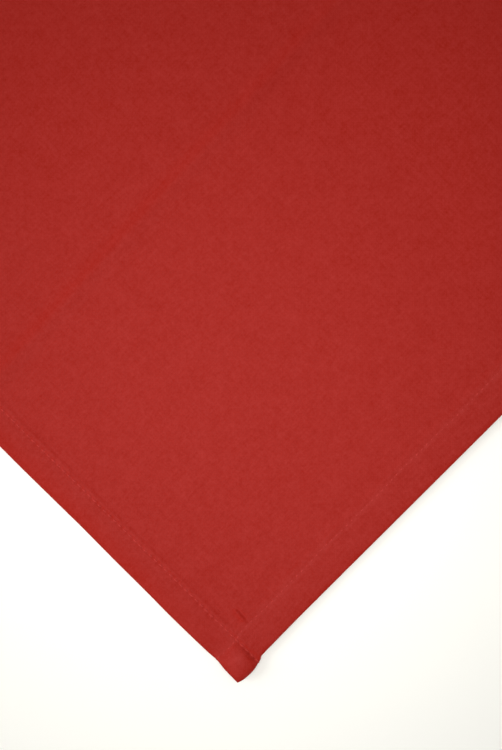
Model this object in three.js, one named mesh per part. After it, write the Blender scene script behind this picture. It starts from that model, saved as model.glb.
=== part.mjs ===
// A table runner of plain woven cloth, hemmed on all four sides and folded in half end to
// end. +X runs across the cloth, +Y along it from its two free ends to the fold, +Z up.
// It lies on its lower layer. The photographed corner is the upper layer's, at +X and -Y.

import * as THREE from "three";

const { clamp, lerp, smoothstep } = THREE.MathUtils;

// Driving dimensions, in mm
const width = 330; // across, hem to hem
const length = 914; // end to end, unfolded
const plainThickness = 1; // one layer with its nap
const hemThickness = 1.6; // where the edge is turned in twice
const cornerThickness = 2.1; // where an end hem lies over a side hem
const sideHem = 14.8; // width of the turned-in cloth along the long sides
const endHem = 14.2; // and along the ends
const hemSlope = 2.5; // over which a hem falls to the plain cloth
const rimBulge = 0.4; // a turned edge is round

const layerGap = 0.6; // air between the two layers
const overhang = 4.5; // how far the upper layer ends past the lower one
const overhangDroop = 0.4; // how far that end hangs down
const bridge = 22; // the upper layer sinks from the hems to the plain cloth over this
const foldReach = 3.4; // how far the turn stands past the flat layers
const foldPuff = 2; // extra air beside the turn
const foldPuffLength = 26; // over which that air closes
const foldSlant = 0.002; // rise per run of the fold line, which isn't quite square
const endSlant = 0.0056; // and of the photographed end
const lowerSkew = 1.8; // the lower layer's end lies this far to one side

// The end hem's block sticks out past the long side, by this share of a corner's ear
const earOutline = [
  { along: 0, out: 0.55 },
  { along: 3.5, out: 0.92 },
  { along: 5.7, out: 1 },
  { along: 9.4, out: 0.9 },
  { along: 11, out: 0.7 },
  { along: 13.2, out: 0.48 },
  { along: 15.2, out: 0 },
];

// The ears at the two ends, on the side at +X (right) and at -X (left)
const ears = {
  near: { right: 2.3, left: 1.1 },
  far: { right: 0.8, left: 1.5 },
};

// How far the long edges wander outward along the unfolded cloth
const edgeDrift = [
  { along: 0, right: 0, left: 0 },
  { along: 140, right: 0.1, left: -0.6 },
  { along: 290, right: -0.1, left: 0.3 },
  { along: 400, right: -0.7, left: -0.4 },
  { along: 520, right: -0.2, left: 0.4 },
  { along: 650, right: 0.5, left: -0.3 },
  { along: 780, right: -0.4, left: 0.5 },
  { along: 914, right: 0, left: 0 },
];

// The crease where the cloth was once folded lengthwise, a little off square
const centreCrease = {
  fromX: 9, fromAlong: -10, toX: -15, toAlong: 460, height: 0.35, spread: 5,
};

// Pressed-in creases of the upper layer: a ridge is positive, a trough negative
const creases = [
  centreCrease,
  { fromX: -3, fromAlong: 191, toX: 58, toAlong: 203, height: -0.2, spread: 8 },
  { fromX: 150, fromAlong: 27, toX: 100, toAlong: 27, height: -0.15, spread: 9 },
  { fromX: -150, fromAlong: 330, toX: -60, toAlong: 400, height: 0.4, spread: 16 },
  { fromX: 70, fromAlong: 452, toX: 95, toAlong: 380, height: 0.5, spread: 12 },
];

// Broad swells where the upper layer lies loose on the lower one
const swells = [
  { x: 70, along: 110, reachX: 60, reachAlong: 80, height: 0.25 },
  { x: -80, along: 200, reachX: 55, reachAlong: 110, height: 0.35 },
  { x: 60, along: 330, reachX: 70, reachAlong: 60, height: 0.45 },
  { x: -60, along: 70, reachX: 60, reachAlong: 40, height: 0.2 },
];

// Where the mesh has its columns and rows: steps counts the strips up to each line
const half = width / 2;
const hemInside = half - sideHem - hemSlope;
const columnTable = [
  { at: -half, steps: 0 },
  { at: -half + 3, steps: 1 },
  { at: -half + sideHem, steps: 2 },
  { at: -hemInside, steps: 1 },
  { at: -9, steps: 5 },
  { at: 9, steps: 4 },
  { at: hemInside, steps: 5 },
  { at: half - sideHem, steps: 1 },
  { at: half - 3, steps: 3 },
  { at: half, steps: 1 },
];

const turnHeight = 2 * plainThickness + layerGap + foldPuff;
const turnCurve = new THREE.EllipseCurve(
  0, 0, foldReach - plainThickness / 2, (turnHeight - plainThickness) / 2,
);
const turnLength = turnCurve.getLength() / 2;
const upperRun = (length - turnLength + overhang) / 2;
const lowerRun = upperRun - overhang;
const turnEnd = upperRun + turnLength;

const rowTable = [
  { at: 0, steps: 0 },
  ...earOutline.slice(1).map((row) => ({ at: row.along, steps: 1 })),
  { at: endHem + hemSlope + 1, steps: 1 },
  { at: 40, steps: 2 },
  { at: 180, steps: 7 },
  { at: 210, steps: 3 },
  { at: 400, steps: 10 },
  { at: upperRun, steps: 5 },
  { at: turnEnd, steps: 8 },
  { at: turnEnd + 20, steps: 2 },
  { at: length - endHem - hemSlope - 1, steps: 11 },
  ...earOutline.slice(1).reverse().map((row) => ({ at: length - row.along, steps: 1 })),
  { at: length, steps: 1 },
];

function stations(table) {
  const found = [table[0].at];
  for (let row = 1; row < table.length; row += 1) {
    const from = table[row - 1].at;
    for (let step = 1; step <= table[row].steps; step += 1) {
      found.push(lerp(from, table[row].at, step / table[row].steps));
    }
  }
  return found;
}

// A column of a table with an "along" column, read between its rows
function readTable(table, column, along) {
  const next = table.findIndex((row) => row.along >= along);
  if (next === -1) return table[table.length - 1][column];
  if (next === 0) return table[0][column];
  const low = table[next - 1];
  const high = table[next];
  return lerp(low[column], high[column], (along - low.along) / (high.along - low.along));
}

// 1 on a hem, 0 on the plain cloth inside it
function onHem(fromEdge, hemWidth, slope) {
  return 1 - smoothstep(fromEdge, hemWidth, hemWidth + slope);
}

function thicknessAt(across, along) {
  const side = onHem(half - Math.abs(across), sideHem, hemSlope);
  const end = onHem(Math.min(along, length - along), endHem, hemSlope);
  const hem = (hemThickness - plainThickness) * Math.max(side, end);
  return plainThickness + hem + (cornerThickness - hemThickness) * side * end;
}

// The lower layer's height under a point of the upper layer, bridged beside its hems
function supportUnder(x, along) {
  const side = onHem(half - Math.abs(x), sideHem, bridge);
  const end = onHem(along - overhang, endHem, bridge);
  const hem = (hemThickness - plainThickness) * Math.max(side, end);
  return plainThickness + hem + (cornerThickness - hemThickness) * side * end;
}

function creaseHeight(crease, x, along) {
  const from = new THREE.Vector2(crease.fromX, crease.fromAlong);
  const run = new THREE.Vector2(crease.toX, crease.toAlong).sub(from);
  const point = new THREE.Vector2(x, along);
  const share = clamp(point.clone().sub(from).dot(run) / run.lengthSq(), 0, 1);
  const away = point.distanceTo(from.addScaledVector(run, share));
  return crease.height * Math.exp(-((away / crease.spread) ** 2));
}

function swellHeight(swell, x, along) {
  const offX = (x - swell.x) / swell.reachX;
  const offAlong = (along - swell.along) / swell.reachAlong;
  return swell.height * Math.exp(-offX * offX - offAlong * offAlong);
}

// Height of the upper layer's underside
function upperUnderside(x, along) {
  let air = layerGap + foldPuff * Math.exp(-(upperRun - along) / foldPuffLength);
  for (const crease of creases) air += creaseHeight(crease, x, along);
  for (const swell of swells) air += swellHeight(swell, x, along);
  const droop = overhangDroop * (1 - smoothstep(along, 0, 3 * overhang));
  return supportUnder(x, along) + Math.max(air, layerGap) - droop;
}

function earAt(across, along) {
  const side = across > 0 ? "right" : "left";
  const near = ears.near[side] * readTable(earOutline, "out", along);
  const far = ears.far[side] * readTable(earOutline, "out", length - along);
  return near + far;
}

// Position across the folded cloth, with its wandering edges and its ears
function xAt(across, along) {
  const onEdge = smoothstep(Math.abs(across), half - 2 * sideHem, half);
  const drift = readTable(edgeDrift, across > 0 ? "right" : "left", along);
  const lowerShare = clamp((along - turnEnd) / lowerRun, 0, 1);
  const outward = onEdge * (drift + earAt(across, along));
  return across + Math.sign(across) * outward - lowerSkew * lowerShare;
}

const foldLine = (across) => upperRun / 2 + foldSlant * across;
const upperEnd = (across) => -upperRun / 2 + endSlant * across;
const lowerEnd = (across) => upperEnd(0) + overhang - foldSlant * across;

// Where a point of the flat cloth lies. face is 1 on the side that ends up outside the
// fold, -1 on the side inside it, and 0 halfway down the cloth's rim.
function place(across, along, face) {
  const thick = thicknessAt(across, along);
  const x = xAt(across, along);
  const inward = (1 - face) / 2; // 0 on the outer face, 1 on the inner one
  if (along <= upperRun) {
    const y = lerp(upperEnd(across), foldLine(across), along / upperRun);
    return [x, y, upperUnderside(x, along) + thick * (1 - inward)];
  }
  if (along >= turnEnd) {
    const y = lerp(foldLine(across), lowerEnd(across), (along - turnEnd) / lowerRun);
    return [x, y, thick * inward];
  }
  const height = upperUnderside(x, upperRun) + thick;
  const angle = Math.PI * (0.5 - (along - upperRun) / turnLength);
  const reach = foldReach - thick * inward;
  const rise = height / 2 - thick * inward;
  return [
    x,
    foldLine(across) + reach * Math.cos(angle),
    height / 2 + rise * Math.sin(angle),
  ];
}

// The mesh's middle columns follow the centre crease
function columnAt(column, along) {
  const share = Math.min(along, length - along) / upperRun;
  const crease = lerp(centreCrease.fromX, centreCrease.toX, clamp(share, 0, 1));
  return column + crease * (1 - smoothstep(Math.abs(column), 9, hemInside));
}

// The flat cloth is a box, cut into strips, and each of its points is carried to the fold
function runnerGeometry() {
  const columns = stations(columnTable);
  const rows = stations(rowTable);
  const flat = new THREE.BoxGeometry(1, 1, 1, columns.length - 1, rows.length - 1, 2);
  const points = flat.getAttribute("position");
  for (let i = 0; i < points.count; i += 1) {
    const column = columns[Math.round((points.getX(i) + 0.5) * (columns.length - 1))];
    const along = rows[Math.round((points.getY(i) + 0.5) * (rows.length - 1))];
    const face = Math.round(points.getZ(i) * 2);
    const spot = place(columnAt(column, along), along, face);
    if (face === 0 && Math.abs(column) === half) spot[0] += Math.sign(column) * rimBulge;
    if (face === 0 && (along === 0 || along === length)) spot[1] -= rimBulge;
    points.setXYZ(i, ...spot);
  }
  flat.computeBoundingBox();
  const middle = flat.boundingBox.getCenter(new THREE.Vector3());
  flat.translate(-middle.x, -middle.y, -flat.boundingBox.min.z);
  flat.computeVertexNormals();
  return flat;
}

const cloth = new THREE.Mesh(
  runnerGeometry(),
  new THREE.MeshStandardMaterial({ color: 0xab2f29, roughness: 0.93, metalness: 0 }),
);
cloth.name = "runner_cloth";

const runner = new THREE.Group();
runner.add(cloth);

export default runner;
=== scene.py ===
import math
import bpy
import numpy as np
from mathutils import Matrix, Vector, noise


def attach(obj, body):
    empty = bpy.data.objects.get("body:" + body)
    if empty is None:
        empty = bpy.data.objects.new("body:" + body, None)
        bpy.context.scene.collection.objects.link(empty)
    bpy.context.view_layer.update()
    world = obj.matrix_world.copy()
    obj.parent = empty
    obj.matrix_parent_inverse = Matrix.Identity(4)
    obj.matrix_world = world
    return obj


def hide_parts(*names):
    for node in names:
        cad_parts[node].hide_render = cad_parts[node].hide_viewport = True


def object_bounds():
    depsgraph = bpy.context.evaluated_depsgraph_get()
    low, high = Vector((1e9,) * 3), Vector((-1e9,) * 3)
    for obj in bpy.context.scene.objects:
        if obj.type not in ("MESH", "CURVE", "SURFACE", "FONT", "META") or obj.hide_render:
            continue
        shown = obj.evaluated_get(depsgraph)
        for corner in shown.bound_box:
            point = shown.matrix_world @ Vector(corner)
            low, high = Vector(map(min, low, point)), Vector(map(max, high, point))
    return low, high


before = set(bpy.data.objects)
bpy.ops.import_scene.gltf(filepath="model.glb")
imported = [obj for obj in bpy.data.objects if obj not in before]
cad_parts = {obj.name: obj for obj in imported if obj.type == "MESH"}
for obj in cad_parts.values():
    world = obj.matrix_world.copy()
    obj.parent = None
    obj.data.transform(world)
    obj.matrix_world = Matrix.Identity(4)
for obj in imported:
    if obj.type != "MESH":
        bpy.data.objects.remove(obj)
clothNode = "runner_cloth"
cadLow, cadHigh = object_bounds()
mm = 0.001

# The runner lies folded in half. "across" runs from one long side to the other, "along" from the
# photographed end over the fold to the other end, both on the cloth laid out flat.
runner = {
    "width": 330 * mm,
    "length": 914 * mm,
    "plain": 0.85 * mm,      # thickness of one layer with its nap
    "hem": 1.2 * mm,         # where the edge is turned in twice
    "block": 1.4 * mm,       # where an end hem lies over a side hem
    "sideStep": (1.2 * mm, 3.8 * mm),   # inside its stitch line a hem ends: from there, over that
    "endStep": (1.0 * mm, 2.7 * mm),
    "rimRun": 1.5 * mm,      # a turned edge rounds off over this
    "rimBulge": 0.4 * mm,    # how far the solid's rim stands past the edge line
    "endSlant": 0.0056,      # the photographed end isn't quite square
}

foldUp = {
    "gap": 0.6 * mm,         # air between the layers
    "overhang": 4.5 * mm,    # the upper layer ends past the lower one
    "sideHem": 14.8 * mm,    # the lower layer's hems under it
    "endHem": 14.2 * mm,
    "bridge": 28 * mm,       # the upper layer sinks off them over this
    "reach": 3.4 * mm,       # how far the turn stands past the flat layers
    "puff": 2.0 * mm,        # extra air beside the turn
    "puffLength": 26 * mm,
    "turned": 1.0 * mm,      # thickness that the solid has in its turn
    "leastGap": 0.5 * mm,    # the air never closes below this
    "calm": 30 * mm,         # ripples fade towards the turn over this
    "slant": 0.002,          # rise per run of the fold line
    "skew": 1.8 * mm,        # the lower layer's end lies this far to one side
}

seams = {
    "pitch": 2.93 * mm,
    "sideStart": 12.6 * mm,  # distance of the side lines from their edge, at the end
    "sideLater": 13.2 * mm,  # and farther along
    "endStart": 12.1 * mm,   # distance of the end line from the edge, at the corner
    "endLater": 11.3 * mm,
    "settle": 140 * mm,      # the lines drift over this
    "wander": {"side": 0.3 * mm, "end": 0.12 * mm},   # they aren't quite straight either
    "wanderRun": 14 * mm,
    "waves": ((0.6, 1.7, 0.0), (0.4, 4.1, 1.3)),   # of the wander: share, radians in that run, start
    "sideGroove": 0.05 * mm,    # how far the lines draw the cloth in
    "endGroove": 0.12 * mm,
    "blockGroove": 0.12 * mm,   # deeper by this where the hems cross
    "grooveWidth": 0.9 * mm,
    "lowerGroove": 1.8,         # and by this share more where the thread lies underneath
}

# Share of a corner's ear at a distance in mm from the end, where the end hem's block sticks out
earShape = {
    "along": [0, 1.2, 2.1, 3.5, 5.7, 7.5, 9.4, 11.0, 13.2, 14.0, 14.8, 16.5, 20, 25, 38],
    "out": [0.5, 0.72, 0.84, 0.92, 0.99, 0.98, 0.9, 0.72, 0.54, 0.32, 0.14, 0.12, 0.1, 0.07, 0.0],
}
ears = {"nearRight": 2.35 * mm, "nearLeft": 1.1 * mm, "farRight": 0.8 * mm, "farLeft": 1.5 * mm}

endDrift = {  # mm that the photographed end wanders outward, from its corner on
    "fromCorner": [0, 8, 12, 18, 28, 39, 50, 70, 90, 105, 125, 180, 240, 290, 330],
    "out": [0.05, 0.0, -0.12, -0.08, 0.1, 0.25, 0.12, 0.18, -0.04, 0.1, 0.25, -0.1, 0.2, 0.0, 0.1],
}
edgeDrift = {  # mm that the long edges wander outward
    "along": [0, 140, 290, 400, 520, 650, 780, 914],
    "right": [0.2, 0.3, 0.0, -0.7, -0.2, 0.5, -0.4, 0],
    "left": [0, -0.6, 0.3, -0.4, 0.4, -0.3, 0.5, 0],
}

# Pressed creases of the upper layer, in mm: start, end, height, half width
creases = [
    {"x": (9, -15), "along": (-10, 460), "height": 0.5, "spread": 3.2},
    {"x": (-3, 58), "along": (191, 203), "height": -0.24, "spread": 4.0},
    {"x": (150, 100), "along": (27, 27), "height": -0.2, "spread": 7.0},
    {"x": (-150, -60), "along": (330, 400), "height": 0.35, "spread": 14.0},
    {"x": (70, 95), "along": (452, 380), "height": 0.45, "spread": 11.0},
    {"x": (-40, -70), "along": (455, 415), "height": 0.3, "spread": 7.0},
    {"x": (140, 128), "along": (455, 425), "height": 0.3, "spread": 6.0},
]
swells = [  # broad loose places of the upper layer, in mm
    {"x": 70, "along": 110, "reachX": 60, "reachAlong": 80, "height": 0.2},
    {"x": -80, "along": 200, "reachX": 55, "reachAlong": 110, "height": 0.3},
    {"x": 60, "along": 330, "reachX": 70, "reachAlong": 60, "height": 0.45},
    {"x": -60, "along": 70, "reachX": 60, "reachAlong": 40, "height": 0.2},
]

half = runner["width"] / 2
turnHeight = 2 * foldUp["turned"] + foldUp["gap"] + foldUp["puff"]
turnA = foldUp["reach"] - foldUp["turned"] / 2     # half axes of the turn's middle line
turnB = (turnHeight - foldUp["turned"]) / 2
turnSum = turnA + turnB
turnLength = math.pi / 2 * (3 * turnSum - math.sqrt((turnSum + 2 * turnA) * (turnSum + 2 * turnB)))
upperRun = (runner["length"] - turnLength + foldUp["overhang"]) / 2
lowerRun = upperRun - foldUp["overhang"]
turnEnd = upperRun + turnLength

# Where the solid's long edge and end lie in the frame
shiftX = cadHigh.x - half - ears["nearRight"] - runner["rimBulge"]
shiftY = cadLow.y + upperRun / 2 + runner["endSlant"] * half + runner["rimBulge"]


def smooth(value, low, high):
    t = np.clip((value - low) / (high - low), 0, 1)
    return t * t * (3 - 2 * t)


def steepening(value, low, high):  # from 1 down to 0, ever steeper
    return 1 - np.clip((value - low) / (high - low), 0, 1) ** 2


def onHem(fromEdge, hemWidth, slope):
    return 1 - smooth(fromEdge, hemWidth, hemWidth + slope)


def fromEnd(along):
    return np.minimum(along, runner["length"] - along)


def wander(run, kind):
    turns = run / seams["wanderRun"]
    waves = sum(share * np.sin(turns * rate + start) for share, rate, start in seams["waves"])
    return seams["wander"][kind] * waves


def seamFromSide(along):  # distance of a side's stitch line from the edge
    t = smooth(fromEnd(along), 0, seams["settle"])
    return seams["sideStart"] + (seams["sideLater"] - seams["sideStart"]) * t + wander(along, "side")


def seamFromEnd(across):  # distance of an end's stitch line from the end
    t = smooth(half - across, 0, seams["settle"])
    return seams["endStart"] + (seams["endLater"] - seams["endStart"]) * t + wander(across, "end")


def hemShares(across, along):  # 1 on the side hems and on the end hems, 0 inside them
    step, slope = runner["sideStep"]
    side = onHem(half - np.abs(across), seamFromSide(along) + step, slope)
    step, slope = runner["endStep"]
    end = onHem(fromEnd(along), seamFromEnd(across) + step, slope)
    return side, end


def groove(across, along):  # the cloth is drawn in along its stitch lines
    side = (half - np.abs(across) - seamFromSide(along)) / seams["grooveWidth"]
    end = (fromEnd(along) - seamFromEnd(across)) / seams["grooveWidth"]
    sideHem, endHem = hemShares(across, along)
    deeper = seams["blockGroove"] * sideHem * endHem
    sideDent = (seams["sideGroove"] + deeper) * np.exp(-side * side)
    return np.maximum(sideDent, (seams["endGroove"] + deeper) * np.exp(-end * end))


def thicknessAt(across, along):
    side, end = hemShares(across, along)
    thick = runner["plain"] + (runner["hem"] - runner["plain"]) * np.maximum(side, end)
    return thick + (runner["block"] - runner["hem"]) * side * end


def rimShare(across, along):  # 0 at a turned edge, 1 where the layer has its thickness
    side = np.clip((half - np.abs(across)) / runner["rimRun"], 0, 1)
    end = np.clip(fromEnd(along) / runner["rimRun"], 0, 1)
    return np.sqrt(1 - (1 - side) ** 2) * np.sqrt(1 - (1 - end) ** 2)


def supportUnder(x, along):
    side = onHem(half - np.abs(x), foldUp["sideHem"], foldUp["bridge"])
    end = onHem(along - foldUp["overhang"], foldUp["endHem"], foldUp["bridge"])
    height = runner["plain"] + (runner["hem"] - runner["plain"]) * np.maximum(side, end)
    return height + (runner["block"] - runner["hem"]) * side * end


def creaseHeight(crease, x, along):
    x0, x1 = [v * mm for v in crease["x"]]
    a0, a1 = [v * mm for v in crease["along"]]
    runX, runA = x1 - x0, a1 - a0
    t = np.clip(((x - x0) * runX + (along - a0) * runA) / (runX ** 2 + runA ** 2), 0, 1)
    away = np.hypot(x - x0 - t * runX, along - a0 - t * runA)
    return crease["height"] * mm * np.exp(-(away / (crease["spread"] * mm)) ** 2)


def swellHeight(swell, x, along):
    offX = (x / mm - swell["x"]) / swell["reachX"]
    offAlong = (along / mm - swell["along"]) / swell["reachAlong"]
    return swell["height"] * mm * np.exp(-offX ** 2 - offAlong ** 2)


# What only the upper layer has, near the photographed corner
cornerLook = {
    "endCurl": (0.15 * mm, 1.05 * mm),   # the end hem bends down to its edge: at the corner, later
    "endCurlFrom": (30 * mm, 60 * mm),   # from the one to the other between these
    "endCurlWidth": 9 * mm,
    "sideCurl": 0.1 * mm,
    "sideCurlWidth": 4.5 * mm,
    "nip": 0.34 * mm,         # the end is drawn in where the side line meets it
    "nipAt": 12.0 * mm,
    "nipWidth": 3.4 * mm,
    "nipFade": 7 * mm,        # it fades away from the end over this
    "tuckAt": ((15.7, 21.15), (20.0, 21.4)),   # the small tuck: mm from the side and the end
    "tuckDepth": 0.18 * mm,
    "tuckWidth": 0.6 * mm,
    "lipHeight": 0.5 * mm,         # a lip stands beside it, this far towards the end
    "lipAway": 1.2 * mm,
    "lipWidth": 0.95 * mm,
    # painted highlight on the block, where its slope faces the light: its middle and reach
    "highlightAt": (8.8, 5.5),        # mm from the side, mm from the end
    "highlightReach": (3.6, 4.6),     # mm
}
blockPillow = {  # the block stands up, and is held down by both stitch lines
    "height": 1.6 * mm,
    "sideFall": (0.5 * mm, 12.3 * mm),   # it falls towards the side's line between these
    "endFall": (5.5 * mm, 12.2 * mm),    # and towards the end's line
    "endDrop": 0.5 * mm,                 # and by this to the end
    "endRun": 7.0 * mm,                  # over this
    "earDrop": 1.0 * mm,                 # and by this to the tip of its ear
}
bumps = [  # mm from the side, mm from the end: dips and humps around the corner
    {"at": (14.5, 2.5), "reach": (6.0, 9.0), "height": -0.5},
    {"at": (1.5, 12.2), "reach": (4.5, 1.6), "height": -0.3},
    {"at": (32, 9), "reach": (10, 5), "height": 0.22},
    {"at": (22, 13.5), "reach": (8, 3), "height": -0.16},
    {"at": (56, 5), "reach": (9, 6), "height": 0.2},
    {"at": (96, 6), "reach": (14, 6), "height": 0.16},
    {"at": (5, 46), "reach": (5, 9), "height": 0.18},
    {"at": (6, 62), "reach": (5, 7), "height": -0.16},
    {"at": (7, 92), "reach": (6, 12), "height": 0.15},
    {"at": (16, 31), "reach": (5, 5), "height": -0.14},
    {"at": (21, 22.6), "reach": (6, 1.6), "height": 0.14},
]


def upperUnderside(x, along):
    air = foldUp["gap"] + foldUp["puff"] * np.exp(-(upperRun - along) / foldUp["puffLength"])
    for crease in creases:
        air = air + creaseHeight(crease, x, along)
    for swell in swells:
        air = air + swellHeight(swell, x, along)
    height = supportUnder(x, along) + np.maximum(air, foldUp["leastGap"])
    look = cornerLook
    atCorner, later = look["endCurl"]
    curl = atCorner + (later - atCorner) * smooth(half - x, *look["endCurlFrom"])
    endDrop = (1 - np.clip(along / look["endCurlWidth"], 0, 1)) ** 2 * curl
    sideDrop = (1 - np.clip((half - np.abs(x)) / look["sideCurlWidth"], 0, 1)) ** 2 * look["sideCurl"]
    pillow = blockPillow
    block = steepening(half - x, *pillow["sideFall"]) * steepening(along, *pillow["endFall"])
    drop = pillow["endDrop"] * np.clip(1 - along / pillow["endRun"], 0, 1) ** 2
    drop = drop + pillow["earDrop"] * np.clip((x - half) / ears["nearRight"], 0, 1) ** 2
    height = height + block * (pillow["height"] - drop)
    for bump in bumps:
        offSide = ((half - x) / mm - bump["at"][0]) / bump["reach"][0]
        offEnd = (along / mm - bump["at"][1]) / bump["reach"][1]
        height = height + bump["height"] * mm * np.exp(-offSide ** 2 - offEnd ** 2)
    return height - endDrop - sideDrop


def earAt(across, along):
    shape = lambda away: np.interp(away / mm, earShape["along"], earShape["out"])
    near = np.where(across > 0, ears["nearRight"], ears["nearLeft"]) * shape(along)
    far = np.where(across > 0, ears["farRight"], ears["farLeft"]) * shape(runner["length"] - along)
    return near + far


def xAt(across, along):
    onEdge = smooth(np.abs(across), half - 2 * foldUp["sideHem"], half)
    right = np.interp(along / mm, edgeDrift["along"], edgeDrift["right"])
    left = np.interp(along / mm, edgeDrift["along"], edgeDrift["left"])
    drift = np.where(across > 0, right, left) * mm
    lowerShare = np.clip((along - turnEnd) / lowerRun, 0, 1)
    outward = np.sign(across) * onEdge * (drift + earAt(across, along))
    return across + outward - foldUp["skew"] * lowerShare


def endInward(across, along):  # how far the photographed end lies inward of its line
    look = cornerLook
    off = (half - across - look["nipAt"]) / look["nipWidth"]
    drift = np.interp((half - across) / mm, endDrift["fromCorner"], endDrift["out"]) * mm
    return (look["nip"] * np.exp(-off * off) - drift) * (1 - smooth(along, 0, look["nipFade"]))


def tuckHeight(across, along):  # a short pinched line with a lip on the end's side
    look = cornerLook
    start, stop = [np.array(spot) * mm for spot in look["tuckAt"]]
    runSide, runEnd = stop - start
    offSide, offEnd = half - across - start[0], along - start[1]
    t = np.clip((offSide * runSide + offEnd * runEnd) / (runSide ** 2 + runEnd ** 2), 0, 1)
    away = np.hypot(offSide - t * runSide, offEnd - t * runEnd)
    beside = np.hypot(offSide - t * runSide, offEnd + look["lipAway"] - t * runEnd)
    pinch = look["tuckDepth"] * np.exp(-(away / look["tuckWidth"]) ** 2)
    return look["lipHeight"] * np.exp(-(beside / look["lipWidth"]) ** 2) - pinch


def paintedHighlightShare(across, along):  # painted highlight: the photographed block is painted paler beside the side's line, where its slope faces the light
    look = cornerLook
    offSide = ((half - across) / mm - look["highlightAt"][0]) / look["highlightReach"][0]
    offEnd = (along / mm - look["highlightAt"][1]) / look["highlightReach"][1]
    return np.exp(-offSide ** 2 - offEnd ** 2)


ripples = {  # the small unevenness of a laid cloth
    "broad": {"across": 38, "along": 52, "place": 3.7, "height": 0.14 * mm},   # lengths in mm
    "small": {"across": 9, "along": 11, "place": 9.1, "height": 0.065 * mm},
    "inside": 0.5,           # share of the small ones inside the hems
    "onHems": 1.5,           # and this much more along the hems
    "hemReach": 16 * mm,
}


def rippleWave(kind, flat):
    wave = ripples[kind]
    spots = [Vector((u / wave["across"], v / wave["along"], wave["place"])) for u, v in flat]
    return wave["height"] * np.array([noise.noise(spot) for spot in spots])


def ripple(across, along):
    flat = np.stack([across.ravel(), along.ravel()], 1) / mm
    edgeNear = np.minimum(half - np.abs(across), fromEnd(along)).ravel()
    hemShare = ripples["onHems"] * np.exp(-(edgeNear / ripples["hemReach"]) ** 2)
    waves = rippleWave("broad", flat) + rippleWave("small", flat) * (ripples["inside"] + hemShare)
    return waves.reshape(across.shape)


def placeCloth(across, along, outer):
    # outer is True for the side of the cloth that ends up outside the fold
    thick = thicknessAt(across, along)
    share = rimShare(across, along)
    halfThick = thick / 2
    offset = (halfThick * share) * (1 if outer else -1)   # from the layer's middle
    x = xAt(across, along)
    deeper = 1 + seams["lowerGroove"] * smooth(along, upperRun, turnEnd)
    dent = groove(across, along) * deeper if outer else 0
    tuck = tuckHeight(across, along) if outer else 0
    wave = ripple(across, along)

    # upper layer
    middle = upperUnderside(x, along) + halfThick
    yUpper = -upperRun / 2 + runner["endSlant"] * across
    foldLine = upperRun / 2 + foldUp["slant"] * across
    upperY = yUpper + (foldLine - yUpper) * np.clip(along / upperRun, 0, 1) + endInward(across, along)
    away = smooth(upperRun - along, 0, foldUp["calm"])
    upperZ = middle + offset + (wave + tuck) * away - dent

    # lower layer, flat on what it rests on
    lowerEnd = -upperRun / 2 + foldUp["overhang"] - foldUp["slant"] * across
    lowerY = foldLine + (lowerEnd - foldLine) * np.clip((along - turnEnd) / lowerRun, 0, 1)
    lowerZ = halfThick - offset + dent

    # the turn between them
    height = upperUnderside(x, np.full_like(along, upperRun)) + thick
    angle = np.pi * (0.5 - (along - upperRun) / turnLength)
    inward = halfThick - offset
    turnY = foldLine + (foldUp["reach"] - inward - dent) * np.cos(angle)
    turnZ = height / 2 + (height / 2 - inward - dent) * np.sin(angle)

    onUpper = along <= upperRun
    onLower = along >= turnEnd
    y = np.where(onUpper, upperY, np.where(onLower, lowerY, turnY))
    z = np.where(onUpper, upperZ, np.where(onLower, lowerZ, turnZ))
    return np.stack([x + shiftX, y + shiftY, z], -1)


def spread(stops):  # distances along a line: pairs of (stop, step up to it), in mm
    found = [stops[0][0]]
    for stop, step in stops[1:]:
        count = max(1, round((stop - found[-1]) / step))
        found += list(np.linspace(found[-1], stop, count + 1)[1:])
    return np.array(found) * mm


meshSteps = {  # mm
    "rim": [0, 0.04, 0.16, 0.36, 0.65, 1.05, 1.6],
    "side": [(1.6, 1), (11, 1.0), (16.6, 0.5), (22, 0.7), (26, 1.3)],
    "centre": 3.4,
    "creaseHalf": 7,
    "creaseStep": 1.4,
    "nearEnd": [(1.6, 1), (9.4, 1.0), (16.2, 0.5), (19.6, 0.5), (22.6, 0.3), (27, 1.2)],
    "upper": 3.3,
    "turn": 18,              # strips
    "lower": 8.0,
    "seamLine": 1.0,         # between the points of a stitch line
    "seamEnd": {"side": 1.2, "end": 1.0},   # it starts this far inside the edge
}


def sideLine(side):  # the stitch line along a long side, as across and along
    inside = meshSteps["seamEnd"]["side"]
    alongs = np.arange(inside, runner["length"] / mm - inside, meshSteps["seamLine"]) * mm
    return side * (half - seamFromSide(alongs)), alongs


def endLine(far):
    inside = half / mm - meshSteps["seamEnd"]["end"]
    acrosses = np.arange(inside, -inside, -meshSteps["seamLine"]) * mm
    alongs = seamFromEnd(acrosses)
    return acrosses, runner["length"] - alongs if far else alongs


def stitchCount(across, along):  # stitches counted along a line, as the stitches are set
    spot = placeCloth(across, along, True)
    run = np.concatenate([[0], np.cumsum(np.linalg.norm(np.diff(spot, axis=0), axis=1))])
    return run / (run[-1] / int(run[-1] / seams["pitch"]))


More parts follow.
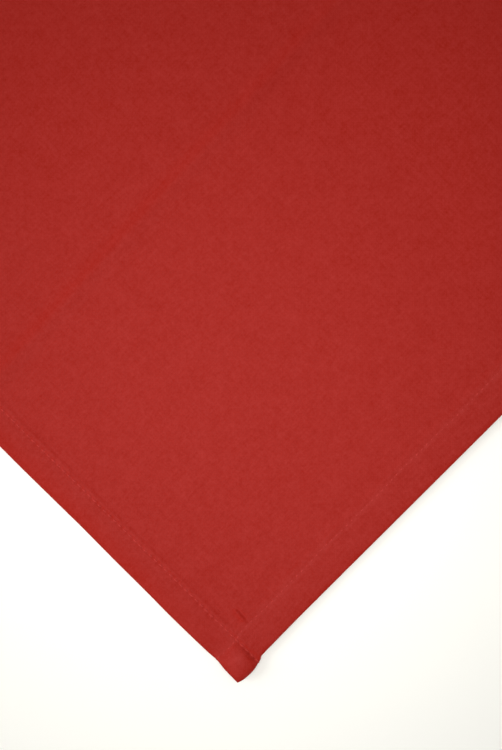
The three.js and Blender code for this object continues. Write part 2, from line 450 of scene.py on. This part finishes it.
def clothGrid():
    steps = meshSteps
    side = np.concatenate([np.array(steps["rim"][:-1]) * mm, spread(steps["side"])])
    inner = half - side[-1]
    gapLeft = inner / mm - steps["creaseHalf"]
    outerPart = spread([(0, 1), (gapLeft, steps["centre"])])
    centre = spread([(-steps["creaseHalf"], 1), (steps["creaseHalf"], steps["creaseStep"])])
    left = np.concatenate([-half + side, -inner + outerPart[1:-1]])
    columns = np.concatenate([left, centre, -left[::-1]])
    end = np.concatenate([np.array(steps["rim"][:-1]) * mm, spread(steps["nearEnd"])])
    upper = spread([(end[-1] / mm, 1), (upperRun / mm, steps["upper"])])[1:]
    turn = np.linspace(upperRun, turnEnd, steps["turn"] + 1)[1:]
    farEnd = runner["length"] - end[::-1]
    lower = spread([(turnEnd / mm, 1), (farEnd[0] / mm, steps["lower"])])[1:-1]
    rows = np.concatenate([end, upper, turn, lower, farEnd])
    across, along = np.meshgrid(columns, rows)
    share = np.clip(fromEnd(along) / upperRun, 0, 1)
    creaseAt = (creases[0]["x"][0] + (creases[0]["x"][1] - creases[0]["x"][0]) * share) * mm
    follow = 1 - smooth(np.abs(across), steps["creaseHalf"] * mm, inner)
    return across + creaseAt * follow, along


def makeCloth():
    across, along = clothGrid()
    rows, columns = across.shape
    outer = placeCloth(across, along, True)
    inner = placeCloth(across, along, False)
    index = np.arange(rows * columns).reshape(rows, columns)
    innerIndex = index + rows * columns
    rim = np.zeros((rows, columns), bool)
    rim[0] = rim[-1] = rim[:, 0] = rim[:, -1] = True
    innerIndex[rim] = index[rim]      # both faces meet at the turned edge

    def quads(ids):
        return np.stack([ids[:-1, :-1], ids[:-1, 1:], ids[1:, 1:], ids[1:, :-1]], -1).reshape(-1, 4)

    faces = np.concatenate([quads(index), quads(innerIndex)[:, ::-1]])
    points = np.concatenate([outer.reshape(-1, 3), inner.reshape(-1, 3)])
    flat = np.stack([across / runner["width"] + 0.5, along / runner["length"]], -1).reshape(-1, 2)
    flat = np.concatenate([flat, flat])
    sideRuns = []
    for lineAcross, lineAlong in (sideLine(1), sideLine(-1)):
        sideRuns.append(np.interp(along, lineAlong, stitchCount(lineAcross, lineAlong)))
    endRuns = []
    for lineAcross, lineAlong in (endLine(False), endLine(True)):
        endRuns.append(np.interp(-across, -lineAcross, stitchCount(lineAcross, lineAlong)))
    sideHem, endHem = hemShares(across, along)
    marks = {
        "sideSeam": (half - np.abs(across) - seamFromSide(along)) / mm,
        "sideCount": np.where(across > 0, sideRuns[0], sideRuns[1]),
        "endSeam": (fromEnd(along) - seamFromEnd(across)) / mm,
        "endCount": np.where(along < runner["length"] / 2, endRuns[0], endRuns[1]),
        "onHem": np.maximum(sideHem, endHem),
        # painted highlight on the block, where its slope faces the light
        "paintedBlockHighlight": paintedHighlightShare(across, along),
    }

    used = np.unique(faces)
    renumber = np.full(len(points), -1)
    renumber[used] = np.arange(len(used))
    mesh = bpy.data.meshes.new("runnerCloth")
    mesh.from_pydata(points[used].tolist(), [], renumber[faces].tolist())
    uv = mesh.uv_layers.new(name="flatCloth")
    loops = np.empty(len(mesh.loops), int)
    mesh.loops.foreach_get("vertex_index", loops)
    uv.data.foreach_set("uv", flat[used][loops].ravel())
    for name, values in marks.items():
        layer = mesh.attributes.new(name, "FLOAT", "POINT")
        layer.data.foreach_set("value", np.tile(values.ravel(), 2)[used])
    mesh.polygons.foreach_set("use_smooth", np.ones(len(mesh.polygons), bool))
    mesh.update()
    piece = bpy.data.objects.new("runnerCloth", mesh)
    bpy.context.collection.objects.link(piece)
    print("cloth", len(mesh.vertices), "points", len(mesh.polygons), "faces")
    return piece


# Stitches: one short bent thread, repeated along each line by Geometry Nodes
stitch = {
    "length": {"side": 2.4 * mm, "end": 2.3 * mm},
    "lift": {"side": -0.16 * mm, "end": 0.04 * mm},   # of the thread's middle over the cloth
    "thread": 0.56 * mm,
    "arch": 0.6 * mm,      # its ends go down into the cloth by this
    "slant": 5.0,          # degrees off the line
    "uneven": 5.0,         # degrees at random
    "scale": (0.88, 1.08),   # of single stitches, at random
    "sides": 6,
    "bends": 6,
    "seed": 11,
}


def surfaceWithNormal(across, along):
    near = 0.05 * mm
    spot = placeCloth(across, along, True)
    du = placeCloth(across + near, along, True) - placeCloth(across - near, along, True)
    dv = placeCloth(across, along + near, True) - placeCloth(across, along - near, True)
    normal = np.cross(du, dv)
    return spot, normal / np.linalg.norm(normal, axis=1, keepdims=True)


def mathNode(nodes, link, operation, first, second=None):
    node = nodes.new("ShaderNodeMath")
    node.operation = operation
    for socket, value in ((0, first), (1, second)):
        if value is None:
            continue
        if isinstance(value, (int, float)):
            node.inputs[socket].default_value = value
        else:
            link(value, node.inputs[socket])
    return node.outputs[0]


def stitchTree(threadMaterial):
    tree = bpy.data.node_groups.new("stitchLine", "GeometryNodeTree")
    face = tree.interface
    face.new_socket("Geometry", in_out="INPUT", socket_type="NodeSocketGeometry")
    sockets = {}
    for name, kind in (
        ("Stitch pitch", "NodeSocketFloat"), ("Stitch length", "NodeSocketFloat"),
        ("Thread width", "NodeSocketFloat"), ("Arch", "NodeSocketFloat"), ("Lift", "NodeSocketFloat"),
        ("Slant", "NodeSocketFloat"), ("Uneven", "NodeSocketFloat"), ("Seed", "NodeSocketInt"),
    ):
        sockets[name] = face.new_socket(name, in_out="INPUT", socket_type=kind).identifier
    face.new_socket("Geometry", in_out="OUTPUT", socket_type="NodeSocketGeometry")
    link = tree.links.new
    times = lambda value, share: mathNode(tree.nodes, link, "MULTIPLY", value, share)
    start = tree.nodes.new("NodeGroupInput")
    end = tree.nodes.new("NodeGroupOutput")

    # the thread between two needle holes
    arc = tree.nodes.new("GeometryNodeCurveQuadraticBezier")
    arc.inputs["Resolution"].default_value = stitch["bends"]
    bend = (("Start", -0.5, -1.0), ("Middle", 0.0, 1.0), ("End", 0.5, -1.0))
    for point, lengthShare, archShare in bend:
        spot = tree.nodes.new("ShaderNodeCombineXYZ")
        link(times(start.outputs["Stitch length"], lengthShare), spot.inputs["X"])
        link(times(start.outputs["Arch"], archShare), spot.inputs["Z"])
        link(spot.outputs[0], arc.inputs[point])
    ring = tree.nodes.new("GeometryNodeCurvePrimitiveCircle")
    ring.inputs["Resolution"].default_value = stitch["sides"]
    link(times(start.outputs["Thread width"], 0.5), ring.inputs["Radius"])
    sweep = tree.nodes.new("GeometryNodeCurveToMesh")
    sweep.inputs["Fill Caps"].default_value = True
    link(arc.outputs[0], sweep.inputs["Curve"])
    link(ring.outputs[0], sweep.inputs["Profile Curve"])

    # places along the line, each turned to the line and the cloth
    asCurve = tree.nodes.new("GeometryNodeMeshToCurve")
    link(start.outputs["Geometry"], asCurve.inputs["Mesh"])
    evenly = tree.nodes.new("GeometryNodeResampleCurve")
    evenly.mode = "LENGTH"
    link(asCurve.outputs[0], evenly.inputs["Curve"])
    link(start.outputs["Stitch pitch"], evenly.inputs["Length"])
    toPoints = tree.nodes.new("GeometryNodeCurveToPoints")
    toPoints.mode = "EVALUATED"
    link(evenly.outputs[0], toPoints.inputs["Curve"])
    up = tree.nodes.new("GeometryNodeInputNamedAttribute")
    up.data_type = "FLOAT_VECTOR"
    up.inputs["Name"].default_value = "clothUp"
    axes = tree.nodes.new("FunctionNodeAxesToRotation")
    axes.primary_axis = "Z"
    axes.secondary_axis = "X"
    link(up.outputs["Attribute"], axes.inputs["Primary Axis"])
    link(toPoints.outputs["Tangent"], axes.inputs["Secondary Axis"])
    turnRandom = tree.nodes.new("FunctionNodeRandomValue")
    link(times(start.outputs["Uneven"], -1.0), turnRandom.inputs[2])
    link(start.outputs["Uneven"], turnRandom.inputs[3])
    link(start.outputs["Seed"], turnRandom.inputs["Seed"])
    yaw = mathNode(tree.nodes, link, "ADD", turnRandom.outputs[1], start.outputs["Slant"])
    yawTurn = tree.nodes.new("FunctionNodeAxisAngleToRotation")
    yawTurn.inputs["Axis"].default_value = (0, 0, 1)
    link(yaw, yawTurn.inputs["Angle"])
    turned = tree.nodes.new("FunctionNodeRotateRotation")
    turned.rotation_space = "LOCAL"
    link(axes.outputs[0], turned.inputs["Rotation"])
    link(yawTurn.outputs[0], turned.inputs["Rotate By"])
    sizeRandom = tree.nodes.new("FunctionNodeRandomValue")
    sizeRandom.inputs[2].default_value, sizeRandom.inputs[3].default_value = stitch["scale"]
    link(start.outputs["Seed"], sizeRandom.inputs["Seed"])

    raised = tree.nodes.new("ShaderNodeVectorMath")
    raised.operation = "SCALE"
    link(up.outputs["Attribute"], raised.inputs[0])
    link(start.outputs["Lift"], raised.inputs["Scale"])
    lifted = tree.nodes.new("GeometryNodeSetPosition")
    link(toPoints.outputs["Points"], lifted.inputs["Geometry"])
    link(raised.outputs[0], lifted.inputs["Offset"])

    repeat = tree.nodes.new("GeometryNodeInstanceOnPoints")
    link(lifted.outputs[0], repeat.inputs["Points"])
    link(sweep.outputs[0], repeat.inputs["Instance"])
    link(turned.outputs[0], repeat.inputs["Rotation"])
    link(sizeRandom.outputs[1], repeat.inputs["Scale"])
    real = tree.nodes.new("GeometryNodeRealizeInstances")
    link(repeat.outputs[0], real.inputs[0])
    smoothAll = tree.nodes.new("GeometryNodeSetShadeSmooth")
    link(real.outputs[0], smoothAll.inputs[0])
    colour = tree.nodes.new("GeometryNodeSetMaterial")
    colour.inputs["Material"].default_value = threadMaterial
    link(smoothAll.outputs[0], colour.inputs["Geometry"])
    link(colour.outputs[0], end.inputs[0])
    return tree, sockets


def makeStitches(kind, seamLines, tree, sockets):
    points, edges, ups = [], [], []
    for across, along in seamLines:
        spot, normal = surfaceWithNormal(across, along)
        first = len(points)
        points += spot.tolist()
        ups += normal.tolist()
        edges += [(first + i, first + i + 1) for i in range(len(across) - 1)]
    lines = bpy.data.meshes.new("stitchLines")
    lines.from_pydata(points, edges, [])
    layer = lines.attributes.new("clothUp", "FLOAT_VECTOR", "POINT")
    layer.data.foreach_set("vector", np.array(ups).ravel())
    guide = bpy.data.objects.new("stitchLines", lines)
    bpy.context.collection.objects.link(guide)

    modifier = guide.modifiers.new("stitches", "NODES")
    modifier.node_group = tree
    values = {
        "Stitch pitch": seams["pitch"], "Stitch length": stitch["length"][kind],
        "Thread width": stitch["thread"], "Arch": stitch["arch"], "Lift": stitch["lift"][kind],
        "Slant": math.radians(stitch["slant"]), "Uneven": math.radians(stitch["uneven"]),
        "Seed": stitch["seed"],
    }
    for name, value in values.items():
        modifier[sockets[name]] = value
    graph = bpy.context.evaluated_depsgraph_get()
    mesh = bpy.data.meshes.new_from_object(guide.evaluated_get(graph))
    mesh.name = kind + "Stitches"
    piece = bpy.data.objects.new(mesh.name, mesh)
    bpy.context.collection.objects.link(piece)
    bpy.data.objects.remove(guide)
    print(mesh.name, len(mesh.polygons), "faces")
    return piece


# Materials
clothLook = {
    "deepRed": (0.292, 0.0102, 0.0049),   # the cloth's colour lies halfway between these
    "paleRed": (0.344, 0.0210, 0.0155),
    "roughness": 0.42,
    "specular": 0.025,
    "sheen": 0.04,
    "sheenTint": (1.0, 0.62, 0.58),
    "sheenRoughness": 0.5,
    "threadPitch": 0.52,     # mm
    "crossing": (0.6, 0.4),  # shares of the weave's height: each crossing alike, over or under
    "weaveBump": 0.035,      # mm
    "slubWidth": 1.0,        # mm
    "slubLength": 7.0,       # mm
    "slubShade": 0.5,        # its part in the colour
    "slubBump": 0.05,        # mm
    "detail": (3, 0.6),      # of the uneven colour
    "cloud": (9.0, 0.6),     # mm across, part in the colour
    "fleck": (2.2, 1.0),
    "grain": (0.9, 1.0),
    # painted shade: the weave is darker in its hollows and paler on its crossings
    "weaveHollowShade": 0.3,
    "weaveMean": 0.25,       # of the weave's height
    "paintedBlockHighlight": 0.55,          # share of the painted highlight on the block
    "lineShade": {"side": 0.2, "end": 0.13},   # and along the stitch lines
    "lineTint": 10.0,        # where the hems' tint is stronger too
    "lineReach": 1.05,       # mm
    "dimpleReach": 0.8,      # mm
    "dimpleDepth": {"side": 0.05, "end": 0.14},   # mm
    "hemTint": (1.0, 1.05, 1.07),   # on the hems, which are three layers thick, the colour is tinted a little paler in green and blue
}


def newMaterial(name):
    material = bpy.data.materials.new(name)
    material.use_nodes = True
    nodes = material.node_tree.nodes
    return material, nodes, material.node_tree.links.new, nodes["Principled BSDF"]


def clothMaterial():
    look = clothLook
    material, nodes, link, shader = newMaterial("redPlainWeave")
    place = nodes.new("ShaderNodeUVMap")
    place.uv_map = "flatCloth"
    flat = nodes.new("ShaderNodeMapping")       # millimetres on the flat cloth
    flat.inputs["Scale"].default_value = (runner["width"] / mm, runner["length"] / mm, 1)
    link(place.outputs["UV"], flat.inputs["Vector"])
    axes = nodes.new("ShaderNodeSeparateXYZ")
    link(flat.outputs[0], axes.inputs[0])
    calc = lambda operation, first, second=None: mathNode(nodes, link, operation, first, second)

    # plain weave: each thread passes over one and under the next
    turn = math.pi / look["threadPitch"]
    weft = calc("SINE", calc("MULTIPLY", axes.outputs["X"], turn))
    warp = calc("SINE", calc("MULTIPLY", axes.outputs["Y"], turn))
    over = calc("MULTIPLY", weft, warp)
    alike, overUnder = look["crossing"]
    weave = calc("MULTIPLY", calc("ABSOLUTE", over), alike)
    weave = calc("ADD", weave, calc("MULTIPLY", over, overUnder))

    def unevenness(width, length):  # 0 to 1, as wide and long as said, in mm
        stretch = nodes.new("ShaderNodeMapping")
        stretch.inputs["Scale"].default_value = (1 / width, 1 / length, 1)
        link(flat.outputs[0], stretch.inputs["Vector"])
        mottle = nodes.new("ShaderNodeTexNoise")
        mottle.noise_dimensions = "2D"
        mottle.inputs["Scale"].default_value = 1
        mottle.inputs["Detail"].default_value, mottle.inputs["Roughness"].default_value = look["detail"]
        link(stretch.outputs[0], mottle.inputs["Vector"])
        return mottle.outputs["Fac"]

    # thicker and thinner places of the yarn, in both directions
    lengthwise = unevenness(look["slubWidth"], look["slubLength"])
    crosswise = unevenness(look["slubLength"], look["slubWidth"])
    slub = calc("SUBTRACT", calc("ADD", lengthwise, crosswise), 1.0)   # about -0.5 to 0.5
    shade = calc("ADD", calc("MULTIPLY", slub, look["slubShade"]), 0.5)
    for size, share in (look["cloud"], look["fleck"], look["grain"]):
        uneven = calc("MULTIPLY", calc("SUBTRACT", unevenness(size, size), 0.5), share)
        shade = calc("ADD", shade, uneven)
    # painted shade: darker in the weave's hollows between threads, paler on its crossings
    weaveAway = calc("SUBTRACT", weave, look["weaveMean"])
    shade = calc("ADD", shade, calc("MULTIPLY", weaveAway, look["weaveHollowShade"]))

    # painted highlight on the block where its slope faces the light, and paler along the stitch lines
    def mark(name):
        node = nodes.new("ShaderNodeAttribute")
        node.attribute_name = name
        return node.outputs["Fac"]

    def besideLine(line, reach):
        off = calc("MULTIPLY", mark(line + "Seam"), 1 / reach)
        return calc("POWER", math.e, calc("MULTIPLY", calc("MULTIPLY", off, off), -1.0))

    shade = calc("ADD", shade, calc("MULTIPLY", mark("paintedBlockHighlight"), look["paintedBlockHighlight"]))
    tinted = mark("onHem")
    for line in ("side", "end"):
        paler = calc("MULTIPLY", besideLine(line, look["lineReach"]), look["lineShade"][line])
        shade = calc("ADD", shade, paler)
        tinted = calc("ADD", tinted, calc("MULTIPLY", paler, look["lineTint"]))
    red = nodes.new("ShaderNodeMix")
    red.data_type = "RGBA"
    red.clamp_factor = False
    red.inputs[6].default_value = (*look["deepRed"], 1)
    red.inputs[7].default_value = (*look["paleRed"], 1)
    link(shade, red.inputs["Factor"])
    tint = nodes.new("ShaderNodeMix")
    tint.data_type = "RGBA"
    tint.blend_type = "MULTIPLY"
    tint.clamp_factor = False
    tint.inputs[7].default_value = (*look["hemTint"], 1)
    link(tinted, tint.inputs["Factor"])
    link(red.outputs[2], tint.inputs[6])
    link(tint.outputs[2], shader.inputs["Base Color"])

    # dimples where the needle went through, between the stitches
    dimples = []
    for line in ("side", "end"):
        narrow = besideLine(line, look["dimpleReach"])
        beat = calc("COSINE", calc("MULTIPLY", mark(line + "Count"), 2 * math.pi))
        between = calc("POWER", calc("SUBTRACT", 0.5, calc("MULTIPLY", beat, 0.5)), 2.0)
        dimples.append(calc("MULTIPLY", calc("MULTIPLY", between, narrow), look["dimpleDepth"][line]))
    dimple = calc("MAXIMUM", dimples[0], dimples[1])

    height = calc("MULTIPLY", weave, look["weaveBump"])
    height = calc("ADD", height, calc("MULTIPLY", slub, look["slubBump"]))
    height = calc("SUBTRACT", height, dimple)
    bump = nodes.new("ShaderNodeBump")
    bump.inputs["Strength"].default_value = 1
    bump.inputs["Distance"].default_value = mm
    link(height, bump.inputs["Height"])
    link(bump.outputs[0], shader.inputs["Normal"])
    shader.inputs["Roughness"].default_value = look["roughness"]
    shader.inputs["Specular IOR Level"].default_value = look["specular"]
    shader.inputs["Sheen Weight"].default_value = look["sheen"]
    shader.inputs["Sheen Roughness"].default_value = look["sheenRoughness"]
    shader.inputs["Sheen Tint"].default_value = (*look["sheenTint"], 1)
    return material


threadLook = {
    "red": (0.425, 0.036, 0.029),
    "roughness": 0.6,
    "specular": 0.04,
    "fibre": 900,            # fibres to the metre
    "detail": 2,
    "shades": (0.85, 1.15),
    "twist": 0.5,            # strength of its bump
    "twistBump": 0.1 * mm,
}


def threadMaterial():
    look = threadLook
    material, nodes, link, shader = newMaterial("redSewingThread")
    place = nodes.new("ShaderNodeTexCoord")
    fibre = nodes.new("ShaderNodeTexNoise")
    fibre.inputs["Scale"].default_value = look["fibre"]
    fibre.inputs["Detail"].default_value = look["detail"]
    link(place.outputs["Object"], fibre.inputs["Vector"])
    shade = nodes.new("ShaderNodeMapRange")
    shade.inputs["To Min"].default_value, shade.inputs["To Max"].default_value = look["shades"]
    link(fibre.outputs["Fac"], shade.inputs["Value"])
    red = nodes.new("ShaderNodeMix")
    red.data_type = "RGBA"
    red.blend_type = "MULTIPLY"
    red.inputs["Factor"].default_value = 1
    red.inputs[6].default_value = (*look["red"], 1)
    link(shade.outputs[0], red.inputs[7])
    link(red.outputs[2], shader.inputs["Base Color"])
    bump = nodes.new("ShaderNodeBump")
    bump.inputs["Strength"].default_value = look["twist"]
    bump.inputs["Distance"].default_value = look["twistBump"]
    link(fibre.outputs["Fac"], bump.inputs["Height"])
    link(bump.outputs[0], shader.inputs["Normal"])
    shader.inputs["Roughness"].default_value = look["roughness"]
    shader.inputs["Specular IOR Level"].default_value = look["specular"]
    return material


# Floor, light and camera
photo = {
    "width": 502, "height": 750,          # px
    "scale": 0.4125 * mm,                 # of one px on the cloth
    "corner": (235.31, 679.98),           # px, where the two edges meet
    "turn": 45.10,                        # degrees between the picture's right and +X
    "cornerHeight": 2.6 * mm,             # of the cloth's corner over the floor, about
    "distance": 0.80,                     # of the camera over the cloth, metres
    "sensor": 36.0,
}


def makeCamera():
    right = Vector((math.cos(math.radians(photo["turn"])), math.sin(math.radians(photo["turn"])), 0))
    up = Vector((-right.y, right.x, 0))
    cornerY = shiftY - upperRun / 2 + runner["endSlant"] * half
    corner = Vector((shiftX + half, cornerY, photo["cornerHeight"]))
    offRight = (photo["width"] / 2 - photo["corner"][0]) * photo["scale"]
    offUp = (photo["corner"][1] - photo["height"] / 2) * photo["scale"]
    middle = corner + right * offRight + up * offUp
    camera = bpy.data.objects.new("camera", bpy.data.cameras.new("camera"))
    camera.data.sensor_width = photo["sensor"]
    camera.data.lens = photo["sensor"] * photo["distance"] / (photo["height"] * photo["scale"])
    camera.location = middle + Vector((0, 0, photo["distance"]))
    camera.rotation_euler = (0, 0, math.radians(photo["turn"]))
    bpy.context.collection.objects.link(camera)
    bpy.context.scene.camera = camera
    return middle, right, up


studio = {
    "sky": 0.295,
    "ceiling": {"power": 25.0, "size": 2.8, "height": 2.6},
    "over": {"power": 57.4, "reach": 0.235, "soft": 0.12, "place": (-0.0115, -0.010, 1.6)},
    "left": {"power": 20.0, "size": 1.2, "place": (-1.9, 0.1, 1.0)},
    "gloss": {"power": 4.0, "size": 0.3, "place": (-0.18, -0.12, 1.0)},   # seen in the gloss alone
    "floor": (0.96, 0.945, 0.88),
    "floorRoughness": 0.9,
    "floorSpecular": 0.1,
    "floorSize": 8.0,        # metres
}


def makeStudio(middle, right, up):
    world = bpy.data.worlds.new("studio")
    world.use_nodes = True
    world.node_tree.nodes["Background"].inputs["Color"].default_value = (1, 1, 1, 1)
    world.node_tree.nodes["Background"].inputs["Strength"].default_value = studio["sky"]
    bpy.context.scene.world = world
    bpy.context.scene.view_settings.view_transform = "Standard"

    def spot(place):  # picture's right, picture's up, height over the cloth
        return middle + right * place[0] + up * place[1] + Vector((0, 0, place[2]))

    over = studio["over"]
    lamp = bpy.data.lights.new("overhead", "SPOT")
    lamp.energy = over["power"]
    lamp.spot_size = 2 * math.atan(over["reach"] / over["place"][2])
    lamp.spot_blend = 1
    lamp.shadow_soft_size = over["soft"]
    head = bpy.data.objects.new("overhead", lamp)
    head.location = spot(over["place"])
    bpy.context.collection.objects.link(head)

    left, ceiling, gloss = studio["left"], studio["ceiling"], studio["gloss"]
    for name, size, power, place in (
        ("softBox", left["size"], left["power"], left["place"]),
        ("ceiling", ceiling["size"], ceiling["power"], (0, 0, ceiling["height"])),
        ("glossCard", gloss["size"], gloss["power"], gloss["place"]),
    ):
        lamp = bpy.data.lights.new(name, "AREA")
        lamp.shape = "DISK"
        lamp.size = size
        lamp.energy = power
        box = bpy.data.objects.new(name, lamp)
        box.location = spot(place)
        box.rotation_euler = (middle - box.location).to_track_quat("-Z", "Y").to_euler()
        box.visible_camera = False
        box.visible_diffuse = name != "glossCard"
        bpy.context.collection.objects.link(box)

    size = studio["floorSize"] / 2
    mesh = bpy.data.meshes.new("floor")
    corners = [(-size, -size, 0), (size, -size, 0), (size, size, 0), (-size, size, 0)]
    mesh.from_pydata(corners, [], [(0, 1, 2, 3)])
    floor = bpy.data.objects.new("floor", mesh)
    material, nodes, link, shader = newMaterial("paleFloor")
    shader.inputs["Base Color"].default_value = (*studio["floor"], 1)
    shader.inputs["Roughness"].default_value = studio["floorRoughness"]
    shader.inputs["Specular IOR Level"].default_value = studio["floorSpecular"]
    mesh.materials.append(material)
    bpy.context.collection.objects.link(floor)


cloth = makeCloth()
cloth.data.materials.append(clothMaterial())
tree, sockets = stitchTree(threadMaterial())
stitches = [
    makeStitches("side", (sideLine(1), sideLine(-1)), tree, sockets),
    makeStitches("end", (endLine(False), endLine(True)), tree, sockets),
]
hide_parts(clothNode)
for piece in (cloth, *stitches):
    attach(piece, "root")
middle, right, up = makeCamera()
makeStudio(middle, right, up)
print("camera, light and floor")
